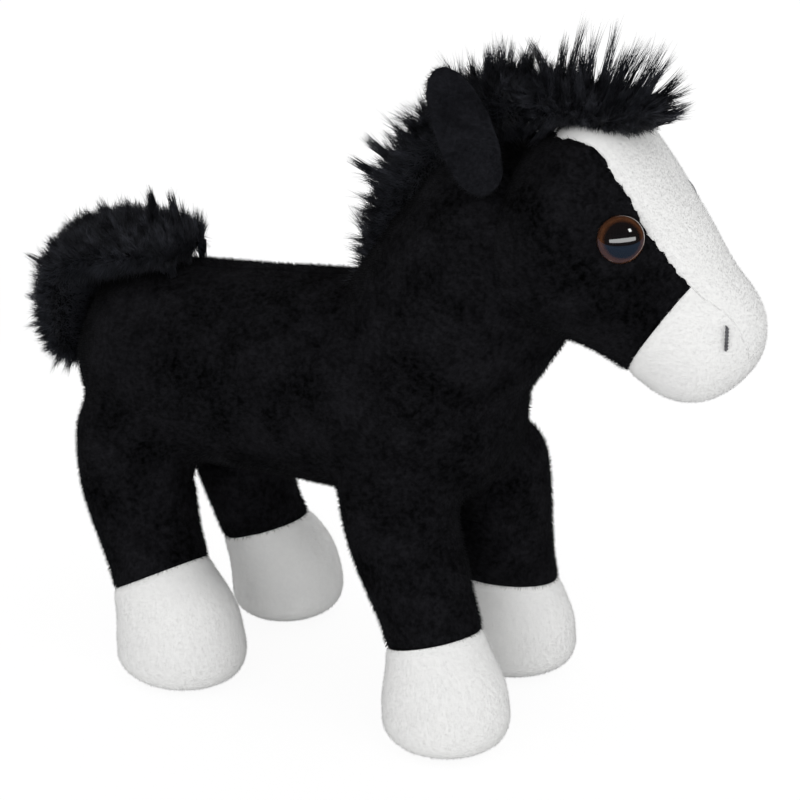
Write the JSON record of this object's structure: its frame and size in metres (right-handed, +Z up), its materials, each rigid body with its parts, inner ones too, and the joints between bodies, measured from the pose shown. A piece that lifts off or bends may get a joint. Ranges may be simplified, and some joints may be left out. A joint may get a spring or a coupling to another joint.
{
  "type": "plush horse",
  "caption": "Standing stuffed toy horse in short black plush with white feet, muzzle and blaze, a long-pile mane, forelock and tail, leaf ears and safety eyes.",
  "frame": {"origin": "middle of the bounding box's bottom face, on the floor that the four soles stand on", "axes": "+X the way the horse faces, from tail to nose; +Y towards the horse's left side; +Z up"},
  "size_m": [0.215, 0.0798, 0.1916],
  "materials": {
    "black_plush": "short black pile",
    "white_plush": "short white pile",
    "long_pile": "long black pile in clumped locks",
    "filling": "loose white polyester fibre",
    "grey_thread": "twisted grey thread",
    "eye_brown": "polished brown safety eye",
    "eye_black": "polished black",
    "washer_white": "plain white"
  },
  "bodies": {
    "horse": {"torso_filling": "filling", "body_panel_right": "black_plush", "body_panel_left": "black_plush", "belly_gusset": "black_plush", "neck_filling": "filling", "neck_panel_right": "black_plush", "neck_panel_left": "black_plush", "head_filling": "filling", "cheek_right": "black_plush", "cheek_left": "black_plush", "blaze": "white_plush", "muzzle_right": "white_plush", "muzzle_left": "white_plush", "front_right_leg_filling": "filling", "front_right_leg_skin": "black_plush", "front_right_foot": "white_plush", "front_right_sole": "white_plush", "front_left_leg_filling": "filling", "front_left_leg_skin": "black_plush", "front_left_foot": "white_plush", "front_left_sole": "white_plush", "hind_right_leg_filling": "filling", "hind_right_leg_skin": "black_plush", "hind_right_foot": "white_plush", "hind_right_sole": "white_plush", "hind_left_leg_filling": "filling", "hind_left_leg_skin": "black_plush", "hind_left_foot": "white_plush", "hind_left_sole": "white_plush", "mane": "long_pile", "forelock": "long_pile", "eye_right_dome": "eye_brown", "eye_right_post": "eye_black", "eye_right_washer": "washer_white", "eye_left_dome": "eye_brown", "eye_left_post": "eye_black", "eye_left_washer": "washer_white", "nostril_stitch_right": "grey_thread", "nostril_stitch_left": "grey_thread"},
    "ear_right": {"ear_right_outer": "black_plush", "ear_right_lining": "black_plush"},
    "ear_left": {"ear_left_outer": "black_plush", "ear_left_lining": "black_plush"},
    "tail": {"tail": "long_pile"}
  },
  "joints": [
    {"name": "ear_right_fold", "type": "hinge", "parent": "horse", "child": "ear_right", "pos_m": [0.04017, -0.01961, 0.15169], "axis": [0.8975, 0.383, 0.2189], "range_deg": [0, 90], "stiffness_Nm_per_rad": 0.002},
    {"name": "ear_left_fold", "type": "hinge", "parent": "horse", "child": "ear_left", "pos_m": [0.04017, 0.01954, 0.15169], "axis": [-0.1068, 0.6968, -0.7092], "range_deg": [0, 90], "stiffness_Nm_per_rad": 0.002},
    {"name": "tail_lift", "type": "hinge", "parent": "horse", "child": "tail", "pos_m": [-0.05035, 0, 0.1093], "axis": [0, 1, 0], "range_deg": [0, 45], "stiffness_Nm_per_rad": 0.02}
  ]
}
